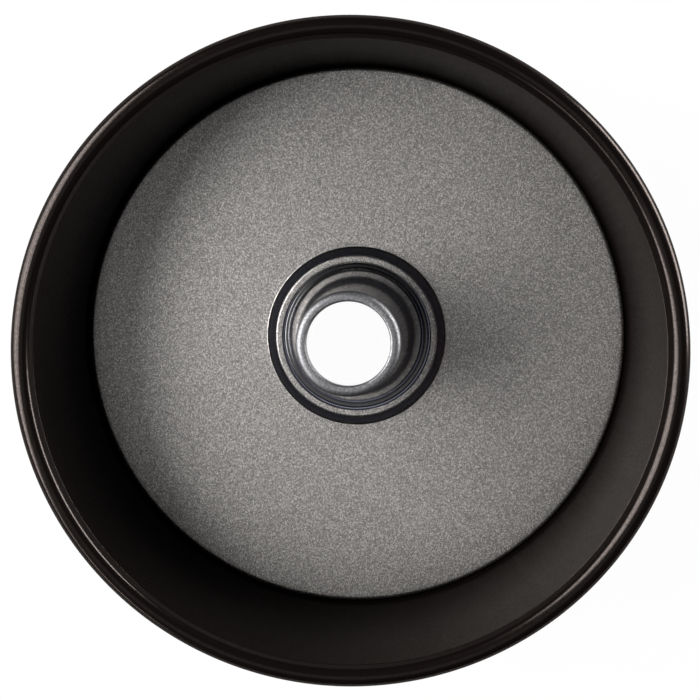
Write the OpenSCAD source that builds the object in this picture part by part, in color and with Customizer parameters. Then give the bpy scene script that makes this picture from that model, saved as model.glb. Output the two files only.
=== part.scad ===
// Two-piece angel food cake pan: a tapered shell with a rolled rim and a ledge at its foot, and a
// loose base plate that carries the centre tube. Z = 0 is the table, and Z is the axis of each piece.

/* [Sheet] */
// Thickness of the pressed steel sheet
sheet_t = 0.8; // [0.6:0.1:1.1]
// Inside radius of the small bends in the sheet
bend_r = 0.4; // [0.2:0.1:0.5]

/* [Pan shell] */
// Inside diameter of the wall at its foot
foot_d = 223.2; // [180:0.4:236]
// Inside diameter of the wall at the step under the rolled rim
mouth_d = 240.2; // [228:0.2:270]
// Height of the shell from the table to the top of the rim
pan_h = 104; // [80:1:125]
// Diameter of the rolled rim's round section
rim_roll_d = 7.5; // [5:0.1:9]
// Angle from the rim's outer side, down and round under it, at which the curl ends
rim_curl_end = 125; // [90:5:140]
// Depth of the step between the wall and the roll, below the top of the roll
rim_step_drop = 1.9; // [1.4:0.1:2.5]
// Width of the step's flat, between the wall's bend and the roll
rim_step_flat_w = 0.1; // [0.1:0.1:1]
// Inside radius of the bend from the wall into the step
rim_step_bend_r = 0.1; // [0.1:0.05:0.3]
// Inside radius of the bend between the wall and the ledge
foot_bend_r = 1.2; // [0.6:0.1:1.5]
// Width of the ledge under the base plate, from the wall inwards
ledge_w = 10; // [7:0.5:16]
// Width of the hem folded back along the ledge's inner edge
ledge_hem_w = 2.6; // [2:0.1:3]

/* [Base plate] */
// Clearance all round between the plate's rolled edge and the wall
plate_gap = 0.3; // [0.2:0.05:0.6]
// Height of the plate's rolled edge, which stands on the ledge
edge_roll_d = 3.2; // [2.8:0.1:4.4]
// Width of the flat that the rolled edge turns inwards on the ledge
edge_tuck_w = 1; // [0.5:0.1:1.5]
// Diameter of the raised collar at its foot
collar_d = 74.2; // [64:0.2:96]
// Height of the collar above the plate
collar_h = 3.5; // [3:0.1:5]
// Width of the collar's sloping side
collar_slope_w = 3.9; // [3:0.1:4.4]
// Width of the collar's flat top
collar_top_w = 2.4; // [2:0.1:4]
// Inside radius of the bend where the flat top turns down to the seat
seat_bend_r = 0.1; // [0.1:0.05:0.4]
// Depth of the tube's seat below the collar's flat top
seat_drop = 2.4; // [1.9:0.1:2.8]

/* [Centre tube] */
// Width of the flat on the folded bead round the tube's foot, between the tube and the fold
bead_flat_w = 0.5; // [0.1:0.1:1.6]
// Clearance all round between the bead and the collar
bead_gap = 0.7; // [0.3:0.05:0.8]
// Clearance all round between the tube and the hole in its seat
tube_gap = 0.1; // [0.05:0.01:0.2]
// Height of the tube's lip above the rolled rim
tube_rise = 2; // [-15:1:25]
// Diameter of the round mouth at the top of the tube
tube_mouth_d = 31.9; // [24:0.1:34]
// Width of the rolled lip
lip_w = 4.1; // [3.4:0.1:5]
// Inside radius of the bend at the lip's inner edge, where it turns down into the mouth
lip_bend_r = 0.1; // [0.1:0.05:0.3]
// Radius of the curl on the lip's outer side
lip_curl_r = 2.4; // [1.8:0.1:2.7]
// Angle from the lip's outer side, down and round under it, at which the tube leaves the roll
lip_tuck = 35; // [0:5:50]
// Height of the skirt that the lip turns down inside the mouth, from the top of the lip
lip_skirt_h = 8; // [6:0.5:14]

/* [Hidden] */
$fn = 96;

arc_step = 8;
bend_step = 20;
shell_colour = "#2e2c2b";
plate_colour = "#8f8b87";
tube_colour = "#4a4745";

// Shell: the inside of the foot, the step under the rim, the angle on the roll at which it rises from
// the step, and the middle of the roll
foot_r = foot_d / 2;
foot_corner = [foot_r, sheet_t, foot_bend_r];
ledge_r = foot_r - ledge_w;
step_z = pan_h - rim_step_drop;
step_end_r = mouth_d / 2 + rim_step_bend_r + sheet_t + rim_step_flat_w;
rim_r = rim_roll_d / 2;
rim_rise = 180 - asin((rim_r - rim_step_drop) / rim_r);
rim_c = [step_end_r - rim_r * cos(rim_rise), pan_h - rim_r];

// Plate: its rolled edge stands on the ledge, and the tube's foot fits the seat sunk in its collar
edge_r = edge_roll_d / 2;
edge_c = [foot_r - plate_gap - edge_r, sheet_t + edge_r];
plate_z = edge_c.y + edge_r;
collar_r = collar_d / 2;
collar_z = plate_z + collar_h;
seat_z = collar_z - seat_drop;
well_r = collar_r - collar_slope_w - collar_top_w;
bead_r = well_r - bead_gap;
tube_foot_r = bead_r - sheet_t - bead_flat_w;
seat_hole_r = tube_foot_r + tube_gap;

// Tube: clinched through the seat, with its lip rolled into the mouth
bead_z = seat_z + 2 * sheet_t;
clinch_z = seat_z - 2 * sheet_t;
mouth_r = tube_mouth_d / 2;
lip_z = pan_h + tube_rise;
lip_c = [mouth_r + lip_w - lip_curl_r, lip_z - lip_curl_r];

function unit(v) = v / norm(v);

// Points at even steps round the circle of radius r about c, after the first one at angle a0
function arc(c, r, a0, a1, step) =
    let (count = ceil(abs(a1 - a0) / step))
    [for (i = [1 : count]) let (a = a0 + (a1 - a0) * i / count) c + r * [cos(a), sin(a)]];

// A corner b of a path from a to c, eased into an arc. Its third value, if it has one, is the bend's
// inside radius. The metal lies on the path's right, so it is inside a right-hand bend.
function eased(a, b, c) =
    let (corner = [b[0], b[1]], u = unit(corner - a), v = unit(c - corner))
    let (turn = atan2(u.x * v.y - u.y * v.x, u * v))
    let (inside_r = len(b) > 2 ? b[2] : bend_r)
    let (r = turn > 0 ? inside_r : inside_r + sheet_t)
    let (start = corner - u * r * tan(abs(turn) / 2))
    let (middle = start + sign(turn) * r * [-u.y, u.x])
    let (from = atan2(start.y - middle.y, start.x - middle.x))
    concat([start], arc(middle, r, from, from + turn, bend_step));

function flat_point(p) = [p[0], p[1]];

// A path with each of its inner corners eased
function bent(p) = concat(
    [p[0]],
    [for (i = [1 : len(p) - 2]) each eased(flat_point(p[i - 1]), p[i], flat_point(p[i + 1]))],
    [p[len(p) - 1]]
);

// The way through the sheet from a point of its face where the face turns from direction u to v
function through(u, v) = sheet_t * [u.y + v.y, -u.x - v.x] / (1 + u * v);

// The back of a sheet whose face follows the path p, last point first
function back(p) =
    let (last = len(p) - 1)
    [for (i = [last : -1 : 0])
        let (before = max(i, 1), after = min(i, last - 1))
        p[i] + through(unit(p[before] - p[before - 1]), unit(p[after + 1] - p[after]))];

// The round fold of a hem about the point c, from angle a0 to angle a1
function fold(c, a0, a1) = concat([c + sheet_t * [cos(a0), sin(a0)]], arc(c, sheet_t, a0, a1, bend_step));

module pan_shell() {
    face = concat(
        bent([
            [ledge_r + ledge_hem_w, sheet_t],
            foot_corner,
            [mouth_d / 2, step_z, rim_step_bend_r],
            [step_end_r, step_z]
        ]),
        arc(rim_c, rim_r, rim_rise, -rim_curl_end, arc_step)
    );
    hem = concat(fold([ledge_r + sheet_t, sheet_t], 270, 90), [[ledge_r + ledge_hem_w, 2 * sheet_t]]);
    color(shell_colour) rotate_extrude() polygon(concat(face, back(face), hem));
}

module base_plate() {
    face = concat(
        bent([
            [seat_hole_r, seat_z],
            [well_r, seat_z],
            [well_r, collar_z, seat_bend_r],
            [collar_r - collar_slope_w, collar_z],
            [collar_r, plate_z],
            [edge_c.x, plate_z]
        ]),
        arc(edge_c, edge_r, 90, -90, arc_step),
        [[edge_c.x - edge_tuck_w, sheet_t]]
    );
    color(plate_colour) rotate_extrude() polygon(concat(face, back(face)));
}

module center_tube() {
    face = concat(
        bent([[mouth_r, lip_z - lip_skirt_h], [mouth_r, lip_z, lip_bend_r], [lip_c.x, lip_z]]),
        arc(lip_c, lip_curl_r, 90, -lip_tuck, arc_step),
        [[tube_foot_r, bead_z]]
    );
    bead = concat(fold([bead_r - sheet_t, seat_z + sheet_t], 90, -90), [[tube_foot_r, seat_z]]);
    clinch = [[tube_foot_r, seat_z - sheet_t], [bead_r, seat_z - sheet_t], [bead_r, clinch_z]];
    inside = back(concat(face, [[tube_foot_r, clinch_z]]));
    color(tube_colour) rotate_extrude() polygon(concat(face, bead, clinch, inside));
}

pan_shell();
base_plate();
center_tube();
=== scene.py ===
# %% [markdown]
# An angel food cake pan, dressed for its photograph. The pan is three pressed sheets of steel: a
# tapered shell with a rolled rim, a loose base plate with a raised collar, and a tapered tube clinched
# into that collar. Every sheet is a round about the Z axis, so one idea makes all of the shapes here:
# draw the sheet's section as a path of radius and height, give it its thickness, and turn it.

# %% Load the fixed frame
import math

import bpy
import numpy as np
from mathutils import Matrix, Quaternion, Vector


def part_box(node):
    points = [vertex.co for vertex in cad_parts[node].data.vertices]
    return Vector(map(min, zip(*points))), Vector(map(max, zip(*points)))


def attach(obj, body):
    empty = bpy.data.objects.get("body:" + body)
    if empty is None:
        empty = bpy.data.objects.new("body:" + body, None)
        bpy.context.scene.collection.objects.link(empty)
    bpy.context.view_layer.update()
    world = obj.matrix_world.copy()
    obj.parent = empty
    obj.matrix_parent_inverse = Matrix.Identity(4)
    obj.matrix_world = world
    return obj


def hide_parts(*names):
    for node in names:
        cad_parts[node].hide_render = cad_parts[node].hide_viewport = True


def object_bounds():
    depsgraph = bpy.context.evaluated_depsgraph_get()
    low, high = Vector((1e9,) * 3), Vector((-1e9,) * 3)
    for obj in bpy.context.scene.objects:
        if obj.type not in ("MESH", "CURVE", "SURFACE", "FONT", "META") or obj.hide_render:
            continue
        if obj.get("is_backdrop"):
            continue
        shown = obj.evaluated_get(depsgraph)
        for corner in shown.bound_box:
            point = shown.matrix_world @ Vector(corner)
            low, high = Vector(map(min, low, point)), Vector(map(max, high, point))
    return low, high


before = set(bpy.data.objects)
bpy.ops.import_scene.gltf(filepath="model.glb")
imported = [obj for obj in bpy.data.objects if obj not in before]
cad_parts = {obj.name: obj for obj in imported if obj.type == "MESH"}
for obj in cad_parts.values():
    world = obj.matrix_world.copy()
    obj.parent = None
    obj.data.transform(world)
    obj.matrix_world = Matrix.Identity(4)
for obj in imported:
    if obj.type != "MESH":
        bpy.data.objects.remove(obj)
cad_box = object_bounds()
MM = 0.001
shell_low, shell_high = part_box("pan_shell")
plate_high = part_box("base_plate")[1]
tube_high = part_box("center_tube")[1]
print("shell", [round(v / MM, 1) for v in shell_high - shell_low], "mm")

# %% [markdown]
# The photograph looks almost straight down into the pan from about a metre, a little behind and to the
# right of its axis. That small offset is what shows the wall's inside as a crescent and the tube's
# side inside its ring, so the camera is set first and everything is judged through it. A long lens
# keeps the rim round. The lens and the sensor are in Blender's own millimetres, and the view's far end
# is in metres.

# %% Camera
CAMERA_AT = Vector((31.5, 71.0, 1070.0)) * MM
CAMERA_AIM = Vector((0.3, 0.9, 100.0)) * MM
LENS, SENSOR = 132.0, 36.0
FAR_END = 20.0

camera = bpy.data.objects.new("camera", bpy.data.cameras.new("camera"))
bpy.context.scene.collection.objects.link(camera)
camera.location = CAMERA_AT
camera.rotation_mode = "QUATERNION"
ahead = (CAMERA_AIM - CAMERA_AT).normalized()
right = ahead.cross(Vector((0, 1, 0))).normalized()
camera.rotation_quaternion = Matrix((right, right.cross(ahead), -ahead)).transposed().to_quaternion()
camera.data.lens = LENS
camera.data.sensor_width = SENSOR
camera.data.clip_end = FAR_END
bpy.context.scene.camera = camera
print("camera is", round((CAMERA_AT - CAMERA_AIM).length, 3), "m from what it looks at")

# %% [markdown]
# A sheet's section is a path in the plane of radius and height. Real presswork never has a sharp
# corner, because the sheet would crack, so each corner of the path is eased into an arc. The metal
# lies on the path's right, which makes a right-hand bend's inside radius the small one. All three
# pieces are pressed from sheet of one thickness, so that and the usual bend are set once. Angles are
# in degrees, and those on a rolled edge count from its outer side.

# %% Paths with rounded corners
SHEET = 0.8 * MM
BEND = 0.4 * MM
BEND_STEPS = 8


def arc(centre, radius, start, end, steps):
    """Points on a circle: centre + radius * (cos a, sin a), for even steps of a in degrees."""
    a = np.radians(np.linspace(start, end, steps + 1))
    return np.asarray(centre) + radius * np.stack([np.cos(a), np.sin(a)], axis=1)


def eased(before, corner, after, inside):
    """A corner as an arc that touches both of its sides, radius * tan(turn / 2) away from the corner."""
    before, corner, after = (np.asarray(p, float) for p in (before, corner, after))
    u = (corner - before) / np.linalg.norm(corner - before)
    v = (after - corner) / np.linalg.norm(after - corner)
    turn = math.atan2(u[0] * v[1] - u[1] * v[0], u @ v)
    radius = inside if turn > 0 else inside + SHEET
    start = corner - u * radius * math.tan(abs(turn) / 2)
    middle = start + math.copysign(radius, turn) * np.array([-u[1], u[0]])
    first = math.degrees(math.atan2(*(start - middle)[::-1]))
    return arc(middle, radius, first, first + math.degrees(turn), BEND_STEPS)


def bent(corners):
    """A path through corners (radius, height), or (radius, height, inside radius of that bend)."""
    flat = [c[:2] for c in corners]
    arcs = [
        eased(a, c[:2], b, c[2] if len(c) > 2 else BEND)
        for a, c, b in zip(flat, corners[1:-1], flat[2:])
    ]
    return np.concatenate([flat[:1], *arcs, flat[-1:]])


print("sheet", SHEET / MM, "mm thick, with bends of", BEND / MM, "mm inside")

# %% [markdown]
# The path becomes a sheet by stepping through it along its own normal, and the sheet becomes a pan by
# turning. Both are plain array work: the grid's rows are the outline's points and its columns are
# the angles, so x = r cos a, y = r sin a and z = h, for every vertex at once. An outline that runs
# counter-clockwise turns into faces that point outwards, so one that runs the other way is reversed.

# %% Sheets and turned surfaces
LONGEST = 2.5 * MM
AROUND = 320
SHARP_ANGLE = math.radians(40)


def refined(path):
    """The same path with points added, LONGEST apart, except within a quarter of that of an old one."""
    along = np.append(0, np.cumsum(np.linalg.norm(np.diff(path, axis=0), axis=1)))
    even = np.arange(0, along[-1], LONGEST)
    near = np.abs(even[:, None] - along).min(axis=1) < LONGEST / 4
    s = np.sort(np.concatenate([along, even[~near]]))
    return np.stack([np.interp(s, along, path[:, k]) for k in range(2)], axis=1)


def back_of(path):
    """The far side of a sheet: p + SHEET * (n1 + n2) / (1 + n1.n2), where n1 and n2 are the normals
    to the path's right before and after p. Its last point comes first."""
    u = np.diff(path, axis=0)
    u /= np.linalg.norm(u, axis=1)[:, None]
    before, after = np.concatenate([u[:1], u]), np.concatenate([u, u[-1:]])
    both = before + after
    through = np.stack([both[:, 1], -both[:, 0]], axis=1)
    return (path + SHEET * through / (1 + (before * after).sum(axis=1))[:, None])[::-1]


def turned(name, outline, shift, around=AROUND):
    """A closed outline turned about Z. shift(x, y, z) gives what is added to each point afterwards."""
    r, h = outline[:, 0], outline[:, 1]
    area = (r * np.roll(h, -1) - np.roll(r, -1) * h).sum()
    r, h = (r, h) if area > 0 else (r[::-1], h[::-1])
    a = np.linspace(0, 2 * np.pi, around, endpoint=False)
    x, y = np.outer(r, np.cos(a)), np.outer(r, np.sin(a))
    points = np.stack([x, y, np.broadcast_to(h[:, None], x.shape)], axis=2)
    points = points + shift(*np.moveaxis(points, 2, 0))
    grid = np.arange(x.size).reshape(x.shape)
    on, up = np.roll(grid, -1, axis=1), np.roll(grid, -1, axis=0)
    quads = np.stack([grid, on, np.roll(on, -1, axis=0), up], axis=2).reshape(-1, 4)
    mesh = bpy.data.meshes.new(name)
    mesh.from_pydata(points.reshape(-1, 3), [], quads.tolist())
    mesh.polygons.foreach_set("use_smooth", np.ones(len(quads), bool))
    mesh.set_sharp_from_angle(angle=SHARP_ANGLE)
    piece = bpy.data.objects.new(name, mesh)
    bpy.context.scene.collection.objects.link(piece)
    print(name, len(quads) * 2, "triangles")
    return piece


# %% [markdown]
# The shell is one tapered sheet. From the inside outwards it has a hem folded back along the hole in
# its bottom, a narrow ledge that the loose base stands on, the tall wall, a narrow flat step, and the
# rim rolled over so that no cut edge is left to touch. A lathe profile with true arcs keeps the long
# reflections on the roll clean, which a subdivided cylinder would not. The step faces the dark
# ceiling, so it reads as the black line between the wall and the roll. Its edge is pressed sharp, and
# only the hidden back of the sheet goes round in a wider bend, so the path is drawn once for the face
# and once for the back. A right-hand bend adds the sheet to its inside radius, so the sheet is taken
# off the sharp one first.

# %% Pan shell
FOLD_STEPS, ROLL_STEPS = 12, 72
SHARP_BEND, BACK_BEND = 0.25 * MM, 0.1 * MM
ON_FACE, ON_BACK = SHARP_BEND - SHEET, BACK_BEND
foot_r, wall_top_r = 111.6 * MM, 119.4 * MM
ledge_w, hem_w, foot_bend = 10 * MM, 2.6 * MM, 1.2 * MM
ledge_r = foot_r - ledge_w
roll_r, roll_end = 3.75 * MM, 125
step_w, step_drop = 1.7 * MM, 1.9 * MM
step_z = shell_high.z - step_drop
roll_rise = 180 - math.degrees(math.asin((roll_r - step_drop) / roll_r))
roll_c = np.array(
    [wall_top_r + step_w - roll_r * math.cos(math.radians(roll_rise)), shell_high.z - roll_r]
)


def fold(r, h, start, end):
    """The outside of a hem: half a circle whose radius is the sheet's thickness."""
    return arc((r, h), SHEET, start, end, FOLD_STEPS)


def shell_path(edge):
    """The way up the shell's face, with an inside radius for the bend at the step's edge."""
    corners = [
        (ledge_r + hem_w, SHEET),
        (foot_r, SHEET, foot_bend),
        (wall_top_r, step_z, edge),
        (wall_top_r + step_w, step_z),
    ]
    roll = arc(roll_c, roll_r, roll_rise, -roll_end, ROLL_STEPS)
    return refined(np.concatenate([bent(corners), roll[1:]]))


shell_hem = np.concatenate([fold(ledge_r + SHEET, SHEET, 270, 90), [[ledge_r + hem_w, 2 * SHEET]]])
shell_outline = np.concatenate([shell_path(ON_FACE), back_of(shell_path(ON_BACK)), shell_hem])
print("rim", round(2 * (roll_c[0] + roll_r) / MM, 1), "mm across")

# %% [markdown]
# A pan of thin sheet is never quite round. Seen from above, this one's wall is a little wider from
# side to side than from front to back, and its top sits a little to the front. Both grow evenly from
# nothing at the foot, which the ledge keeps round, so the loose base still fits.

# %% Out of round
OVAL = (0.0062, -0.0039)
SWAY = -0.5 * MM


def out_of_round(x, y, z):
    """A share of x and of y, and a sway along Y, each times the share of the rim's height."""
    lift = z / shell_high.z
    return np.stack([OVAL[0] * x * lift, (OVAL[1] * y + SWAY) * lift, 0 * lift], axis=2)


shell = turned("shell", shell_outline, out_of_round)

# %% [markdown]
# The base plate lifts out with the cake. Its edge is rolled under, which gives the dark rounded line
# where it meets the wall, and its middle rises in a sloping collar with a flat top. The tube's seat is
# sunk inside the collar, so a shadow line always shows between the two. The bead at the tube's foot
# is the tube's widest place, so the frame gives its radius. The other sizes go inwards from it to the
# tube and its hole, and outwards through the gap, the flat top and the slope.

# %% Base plate section
EDGE_STEPS = 24
edge_r, edge_gap, tuck_w = 1.6 * MM, 0.3 * MM, 1 * MM
edge_c = np.array([foot_r - edge_gap - edge_r, SHEET + edge_r])
bead_r, bead_flat_w, bead_gap, tube_gap = tube_high.x, 0.5 * MM, 0.7 * MM, 0.1 * MM
tube_foot_r = bead_r - SHEET - bead_flat_w
seat_hole_r, well_r = tube_foot_r + tube_gap, bead_r + bead_gap
collar_top_w, collar_slope_w, collar_bend = 2.4 * MM, 3.9 * MM, 0.9 * MM
collar_top_r = well_r + collar_top_w
collar_r = collar_top_r + collar_slope_w
plate_z, collar_z = edge_c[1] + edge_r, plate_high.z
seat_drop = 2.4 * MM
seat_z = collar_z - seat_drop


def plate_path(edge):
    """The way out over the plate's face, with an inside radius for the bend at the well's edge."""
    corners = [
        (seat_hole_r, seat_z),
        (well_r, seat_z),
        (well_r, collar_z, edge),
        (collar_top_r, collar_z),
        (collar_r, plate_z, collar_bend),
        (edge_c[0], plate_z),
    ]
    rolled = arc(edge_c, edge_r, 90, -90, EDGE_STEPS)[1:]
    tuck = [[edge_c[0] - tuck_w, SHEET]]
    return refined(np.concatenate([bent(corners), rolled, tuck]))


plate_outline = np.concatenate([plate_path(ON_FACE), back_of(plate_path(ON_BACK))])
print("collar", [round(v / MM, 1) for v in (2 * collar_r, collar_z - plate_z)], "mm wide and high")

# %% [markdown]
# The seat took a slight tilt when the tube was pressed into it, and the tube leans with it. Both
# pieces share that small turn: each point moves sideways by a share of its height, and up or down by
# the same share of its place. On the plate only the seat tilts, so the turn fades out up the well's
# wall. The back of that wall lies one sheet further out than its face, so the turn reaches a little
# more than one sheet past the well.

# %% Tilted seat
LEAN = (-0.002, 0.0345)
ASIDE = 0.15 * MM
WELL_REACH = 1.1 * SHEET


def askew(x, y, z):
    """The seat's tilt: sideways by the lean's share of the height above it, and by ASIDE along Y, and
    down by the lean's share of x and y."""
    lift = z - seat_z
    return np.stack([LEAN[0] * lift, ASIDE + LEAN[1] * lift, -LEAN[0] * x - LEAN[1] * y], axis=2)


def seat_askew(x, y, z):
    """The seat's tilt, which fades out up the well's wall and is nothing on the collar."""
    up = np.clip((z - seat_z) / (collar_z - SHEET - seat_z), 0, 1)
    inside = np.hypot(x, y) < well_r + WELL_REACH
    return askew(x, y, z) * ((1 - up) * inside)[:, :, None]


plate = turned("plate", plate_outline, seat_askew)
print("the tube leans by", round(math.degrees(math.atan(math.hypot(*LEAN))), 1), "degrees")

# %% [markdown]
# The tube is a cone that narrows upwards, clinched through the seat between a folded bead above and a
# flange below. Its top is rolled into the mouth as a smooth lip and turned down inside as a short
# skirt. It is turned true to the axis first and then leans with its seat.

# %% Centre tube
LIP_STEPS = 36
TUBE_AROUND = 288
mouth_r, lip_w, lip_tuck, skirt_h = 15.95 * MM, 4.1 * MM, 35, 8 * MM
lip_r, lip_bend = 2.4 * MM, 0.1 * MM
lip_c = np.array([mouth_r + lip_w - lip_r, tube_high.z - lip_r])
bead_z, clinch_z = seat_z + 2 * SHEET, seat_z - 2 * SHEET
skirt = bent(
    [
        (mouth_r, tube_high.z - skirt_h),
        (mouth_r, tube_high.z, lip_bend),
        (lip_c[0], tube_high.z),
    ]
)
lip = arc(lip_c, lip_r, 90, -lip_tuck, LIP_STEPS)[1:]
tube_face = refined(np.concatenate([skirt, lip, [[tube_foot_r, bead_z]]]))
bead = np.concatenate([fold(bead_r - SHEET, seat_z + SHEET, 90, -90), [[tube_foot_r, seat_z]]])
clinch = [[tube_foot_r, seat_z - SHEET], [bead_r, seat_z - SHEET], [bead_r, clinch_z]]
tube_back = back_of(np.concatenate([tube_face, [[tube_foot_r, clinch_z]]]))
tube_outline = np.concatenate([tube_face, bead, clinch, tube_back])
tube = turned("tube", tube_outline, askew, TUBE_AROUND)

# %% [markdown]
# Finishes are node materials, and their sums are written as Python expressions. A small class wraps a
# socket, so that `1 - mask * 0.5` adds the Math nodes for it. Any other node comes from one method
# that takes the node's type, its settings and what its sockets get. A Mix node has sockets of the
# same name for each kind of data, so its colour sockets go by their numbers.

# %% Shader expressions
MIX_FIRST, MIX_SECOND, MIXED = 6, 7, 2


class Value:
    """A node's output. Adding, subtracting and multiplying such values makes Math nodes."""

    def __init__(self, finish, socket):
        self.finish, self.socket = finish, socket

    def math(self, operation, first, second):
        """A Math node, where first and second are values or plain numbers."""
        sockets = {0: first, 1: second}
        return self.finish.add("ShaderNodeMath", {"operation": operation}, sockets)

    def __add__(self, other):
        return self.math("ADD", self, other)

    def __sub__(self, other):
        return self.math("SUBTRACT", self, other)

    def __rsub__(self, other):
        return self.math("SUBTRACT", other, self)

    def __mul__(self, other):
        return self.math("MULTIPLY", self, other)

    __radd__, __rmul__ = __add__, __mul__


class Finish:
    """The nodes of a material or a world."""

    def __init__(self, owner):
        self.owner = owner
        self.owner.use_nodes = True
        self.tree = self.owner.node_tree
        self.tree.nodes.clear()

    def add(self, kind, settings, sockets, output=0):
        """A node: its settings are set first, and then its sockets get their values or links."""
        node = self.tree.nodes.new(kind)
        for name, value in settings.items():
            setattr(node, name, value)
        for name, value in sockets.items():
            if isinstance(value, Value):
                self.tree.links.new(value.socket, node.inputs[name])
            else:
                node.inputs[name].default_value = value
        return Value(self, node.outputs[output]) if node.outputs else None

    def place(self):
        """The place in the frame, since every piece's object sits at the origin."""
        return self.add("ShaderNodeTexCoord", {}, {}, "Object")

    def along(self, axis):
        """The place along one axis of the frame, in metres."""
        return self.add("ShaderNodeSeparateXYZ", {}, {"Vector": self.place()}, axis)

    def noise(self, size, roughness=0.5):
        """Noise whose lumps are about size across, from 0 to 1."""
        sockets = {"Vector": self.place(), "Scale": 1 / size, "Detail": 2.0, "Roughness": roughness}
        return self.add("ShaderNodeTexNoise", {}, sockets)

    def flakes(self, size):
        """Cells about size across, each of one random colour, whose brightness is its value from 0 to
        1. It is a weighted mean of three random numbers, so most are middling and few are high."""
        sockets = {"Vector": self.place(), "Scale": 1 / size}
        return self.add("ShaderNodeTexVoronoi", {"feature": "F1"}, sockets, "Color")

    def ramp(self, value, low, high, start=0.0, end=1.0):
        """start where value is at low, end where it is at high, and a smooth rise between them."""
        settings = {"interpolation_type": "SMOOTHSTEP"}
        sockets = {"Value": value, "From Min": low, "From Max": high, "To Min": start, "To Max": end}
        return self.add("ShaderNodeMapRange", settings, sockets)

    def mix(self, factor, first, second):
        """A colour between two colours."""
        sockets = {"Factor": factor, MIX_FIRST: first, MIX_SECOND: second}
        return self.add("ShaderNodeMix", {"data_type": "RGBA"}, sockets, MIXED)

    def bump(self, height, depth):
        """Dents and grain: height from 0 to 1 stands for depth in metres."""
        return self.add("ShaderNodeBump", {}, {"Height": height, "Strength": 1.0, "Distance": depth})

    def shine(self, sockets):
        """A Principled shader of bare metal."""
        return self.add("ShaderNodeBsdfPrincipled", {}, {"Metallic": 1.0, **sockets})

    def matte(self, colour):
        """A plain diffuse shader."""
        return self.add("ShaderNodeBsdfDiffuse", {}, {"Color": colour})

    def blend(self, share, first, second):
        """Two shaders mixed, with the second one's share of the surface."""
        return self.add("ShaderNodeMixShader", {}, {0: share, 1: first, 2: second})

    def done(self, shader, kind="ShaderNodeOutputMaterial"):
        """Joins the last shader to the output."""
        self.add(kind, {}, {"Surface": shader})
        print(self.owner.name, len(self.tree.nodes), "nodes")
        return self.owner


def dress(piece, material, body, node):
    """Gives a piece its finish and its body, and hides the node that it stands for."""
    piece.data.materials.append(material)
    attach(piece, body)
    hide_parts(node)


# %% [markdown]
# The shell's non-stick coat is a matte black film with fine metal flakes in it. Only the flakes
# shine, so the coat is two shaders: black paint, and a metal that shows over a small share of the
# surface. That share differs from flake to flake, which gives the rim's highlights their grain and
# leaves the wall a dim mirror for the plate below it. The share is also made smaller towards the foot
# of the wall and larger near its top, as painted shade, so the wall is nearly black at its foot.
# Where two colours are given, a soft cloudiness goes between them.

# %% Shell coating
FILM = (0.0036, 0.0025, 0.0022, 1)
SHELL_FLAKE = (0.178, 0.151, 0.14, 1), (0.202, 0.172, 0.16, 1)
LEAST_SHARE, MORE_SHARE = 0.062, 0.09

coat = Finish(bpy.data.materials.new("shell_coating"))
cells = coat.flakes(0.42 * MM)
cloud = coat.noise(22 * MM)
# Painted shade: the metal's share shrinks towards the foot of the wall, so the wall darkens there and
# brightens near its top.
rise = coat.ramp(coat.along("Z"), low=8 * MM, high=80 * MM, start=0.4, end=1.25)
metal = coat.shine(
    {
        "Base Color": coat.mix(cloud, *SHELL_FLAKE),
        "Roughness": 0.17 + 0.05 * cloud,
        "Normal": coat.bump(coat.noise(0.5 * MM), depth=0.004 * MM),
    }
)
share = (LEAST_SHARE + MORE_SHARE * cells) * rise
shell_coating = coat.done(coat.blend(share, coat.matte(FILM), metal))
dress(shell, shell_coating, "shell", "pan_shell")

# %% [markdown]
# The base plate's coat is full of metal flakes, so it reads as a warm grey sparkle. Each flake is a
# tiny mirror at its own tilt, and from a metre away each one is a spot of its own brightness. A
# smooth noise would blur them into clouds, so cells with one random value each give the colour, and
# a fine noise bends the surface a little between them. The tube's lip has the same sparkle, so a
# function makes it for both.

# %% Sparkle
GRAIN, FLAKE = 0.4 * MM, 0.34 * MM


def sparkle(coat):
    """The fine grain and the flakes, each from 0 to 1. The flakes' values are stretched apart."""
    return coat.noise(GRAIN, roughness=0.6), coat.ramp(coat.flakes(FLAKE), low=0.3, high=0.95)


# %% [markdown]
# The press rubs the collar. Its sloping side and the well inside it are smooth, and their colour is
# a cool grey in place of the flakes, a painted reflection of the dim bluish room. The foot of the
# slope is a narrow polished line. Masks tell these apart by their height above the plate's flat:
# each is 0 below its zone, rises over a fraction of a millimetre and is 1 above it.

# %% Plate coating
DULL = (0.325, 0.311, 0.296, 1), (0.355, 0.339, 0.323, 1)
PALE = (0.97, 0.925, 0.885, 1), (1.0, 0.955, 0.91, 1)
# Painted reflection: the cool grey given to the collar's slope and well stands for the dim bluish room
# they reflect.
SLOPE_REFLECTION_TINT = (0.48, 0.5, 0.64, 1)
SLOPE_TINT_SHARE = 0.9

coat = Finish(bpy.data.materials.new("plate_coating"))
grain, cells = sparkle(coat)
cloud = coat.noise(30 * MM)
height = coat.along("Z")
on_foot = coat.ramp(height, low=plate_z + 0.02 * MM, high=plate_z + 0.1 * MM)
on_side = coat.ramp(height, low=plate_z + 0.3 * MM, high=plate_z + 0.8 * MM)
on_top = coat.ramp(height, low=collar_z - 0.5 * MM, high=collar_z - 0.2 * MM)
slope_and_well = on_side * (1 - on_top)
polished = on_foot * (1 - on_side)
speckle = coat.mix(cells, coat.mix(cloud, *DULL), coat.mix(cloud, *PALE))
metal = coat.shine(
    {
        # The slope and the well take the painted cool reflection in place of the flakes.
        "Base Color": coat.mix(slope_and_well * SLOPE_TINT_SHARE, speckle, SLOPE_REFLECTION_TINT),
        "Roughness": 0.34 + 0.05 * cloud - 0.1 * slope_and_well - 0.16 * polished,
        "Normal": coat.bump(grain, depth=0.009 * MM),
    }
)
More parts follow.
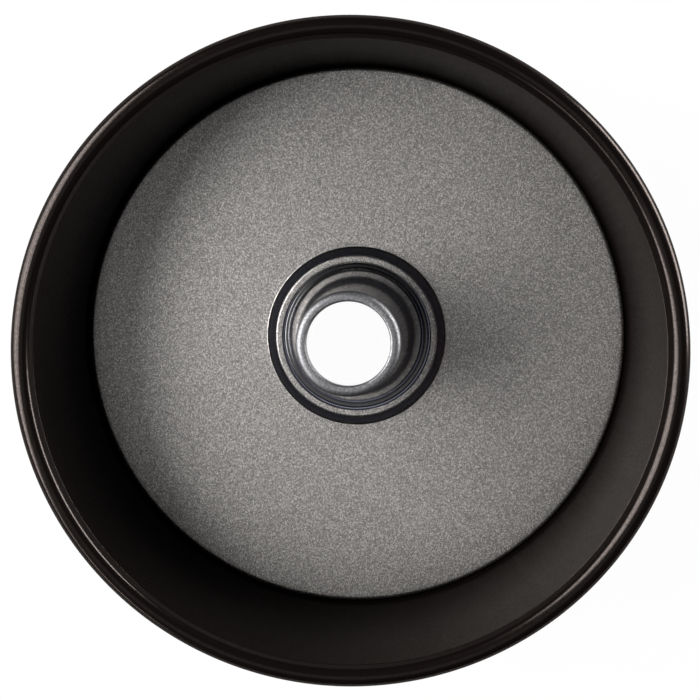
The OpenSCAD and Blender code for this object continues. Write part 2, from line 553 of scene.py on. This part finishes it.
dress(plate, coat.done(metal), "base", "base_plate")

# %% [markdown]
# The tube is drawn and polished before it is coated, so its cone is a glossy dark mirror for the
# collar round its foot. Its lip is rubbed by the roll and keeps a paler satin grain, and the bead at
# its foot is in between. The tube leans, so these masks follow its own height, from which the lean
# is taken out.

# %% Tube coating
CONE = (0.12, 0.12, 0.125, 1), (0.145, 0.145, 0.15, 1)
LIP = (0.15, 0.15, 0.154, 1), (0.31, 0.31, 0.32, 1)
BEAD_SHARE = 0.4

coat = Finish(bpy.data.materials.new("tube_coating"))
grain, cells = sparkle(coat)
cloud = coat.noise(14 * MM)
height = coat.along("Z") + coat.along("X") * LEAN[0] + coat.along("Y") * LEAN[1]
on_lip = coat.ramp(height, low=tube_high.z - 4.2 * MM, high=tube_high.z - 2.6 * MM)
on_bead = coat.ramp(height, low=bead_z + 0.05 * MM, high=bead_z + 0.25 * MM, start=1, end=0)
pale_share = on_lip + on_bead * BEAD_SHARE
metal = coat.shine(
    {
        "Base Color": coat.mix(pale_share, coat.mix(cloud, *CONE), coat.mix(cells, *LIP)),
        "Roughness": 0.05 + 0.02 * cloud + 0.45 * on_lip + 0.15 * on_bead,
        "Normal": coat.bump(grain * on_lip, depth=0.004 * MM),
    }
)
dress(tube, coat.done(metal), "base", "center_tube")

# %% [markdown]
# The studio is a white table in a dim room. A large square softbox shines in from the left, turned
# most of the way onto its corner: it lights the plate and draws the grainy band round the rim. A
# long, narrow one at the same height adds a little to both. A small bright one, low on the right,
# draws the rim's second line, and a weak one overhead keeps the plate from going dark beside the
# wall and behind the tube. A lamp's power follows from how bright its face is: brightness times pi
# times area.

# %% Lamps
LOOK_AT = Vector((0, 0, 0.1))
LAMP_DISTANCE = 1.0


def softbox(name, azimuth, off_vertical, size, brightness, roll=0.0):
    """A rectangular lamp of size in metres, LAMP_DISTANCE from LOOK_AT, which it faces. It stands at
    azimuth round Z and off_vertical from Z, and roll turns it about its own axis, all in degrees."""
    a, p = math.radians(azimuth), math.radians(off_vertical)
    way = Vector((math.sin(p) * math.cos(a), math.sin(p) * math.sin(a), math.cos(p)))
    data = bpy.data.lights.new(name, "AREA")
    data.shape = "RECTANGLE"
    data.size, data.size_y = size
    data.energy = brightness * math.pi * size[0] * size[1]
    lamp = bpy.data.objects.new(name, data)
    lamp.location = LOOK_AT + LAMP_DISTANCE * way
    lamp.rotation_mode = "QUATERNION"
    lamp.rotation_quaternion = way.to_track_quat("Z", "Y") @ Quaternion((0, 0, 1), math.radians(roll))
    lamp.visible_camera = False
    bpy.context.scene.collection.objects.link(lamp)
    print(name, round(data.energy, 1), "W")


softbox("key", azimuth=170, off_vertical=55, size=(1.0, 1.0), brightness=8.3, roll=40)
softbox("strip", azimuth=192, off_vertical=56, size=(2.0, 0.16), brightness=5.4, roll=-15)
softbox("low_right", azimuth=22, off_vertical=85, size=(0.86, 0.37), brightness=20.0)
softbox("overhead", azimuth=260, off_vertical=15, size=(0.6, 0.6), brightness=0.35)

# %% [markdown]
# The table is white to the camera and in reflections, where a strength of 1 is white, and a little of
# its colour is plain paint, which keeps the pan's shadow. To other rays it is all paint, so it lights
# the pan as a lit table would. The world is white only where the camera looks past the table. For
# everything else it is a dim, slightly bluish grey, as the room above the pan is.

# %% Table and world
TABLE_HALF = 4.0
TABLE_GAP = 0.1 * MM
SHADED = 0.03
PAINT = (0.9, 0.9, 0.9, 1)
WHITE = (1, 1, 1, 1)
ROOM = (0.037, 0.038, 0.044, 1)


def ray(finish, kind):
    """1 for rays of one kind: Camera, Glossy or Transmission."""
    return finish.add("ShaderNodeLightPath", {}, {}, f"Is {kind} Ray")


white = Finish(bpy.data.materials.new("white_table"))
glow = white.add("ShaderNodeEmission", {}, {"Color": WHITE, "Strength": 1.0})
seen = ray(white, "Camera") + ray(white, "Glossy") + ray(white, "Transmission")
glow_share = white.ramp(seen, low=0, high=1, start=0, end=1 - SHADED)
white_table = white.done(white.blend(glow_share, white.matte(PAINT), glow))

table_corners = np.array([(-1, -1), (1, -1), (1, 1), (-1, 1)]) * TABLE_HALF
mesh = bpy.data.meshes.new("table")
mesh.from_pydata([(x, y, shell_low.z - TABLE_GAP) for x, y in table_corners], [], [(0, 1, 2, 3)])
mesh.materials.append(white_table)
table = bpy.data.objects.new("table", mesh)
bpy.context.scene.collection.objects.link(table)
table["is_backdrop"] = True

room = Finish(bpy.data.worlds.new("studio"))
dim = room.add("ShaderNodeBackground", {}, {"Color": ROOM})
bright = room.add("ShaderNodeBackground", {}, {"Color": WHITE})
past_table = ray(room, "Camera") + ray(room, "Transmission")
sky = room.blend(past_table, dim, bright)
bpy.context.scene.world = room.done(sky, "ShaderNodeOutputWorld")
bpy.context.scene.view_settings.view_transform = "Standard"

# %% [markdown]
# The last step gathers both boxes, the imported pan's and the dressed pan's, and prints the dressed
# pan's size.

# %% Finish
boxes = {"cad": [list(c) for c in cad_box], "visual": [list(c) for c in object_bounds()]}
print("dressed pan", [round((high - low) / MM, 1) for low, high in zip(*boxes["visual"])], "mm")
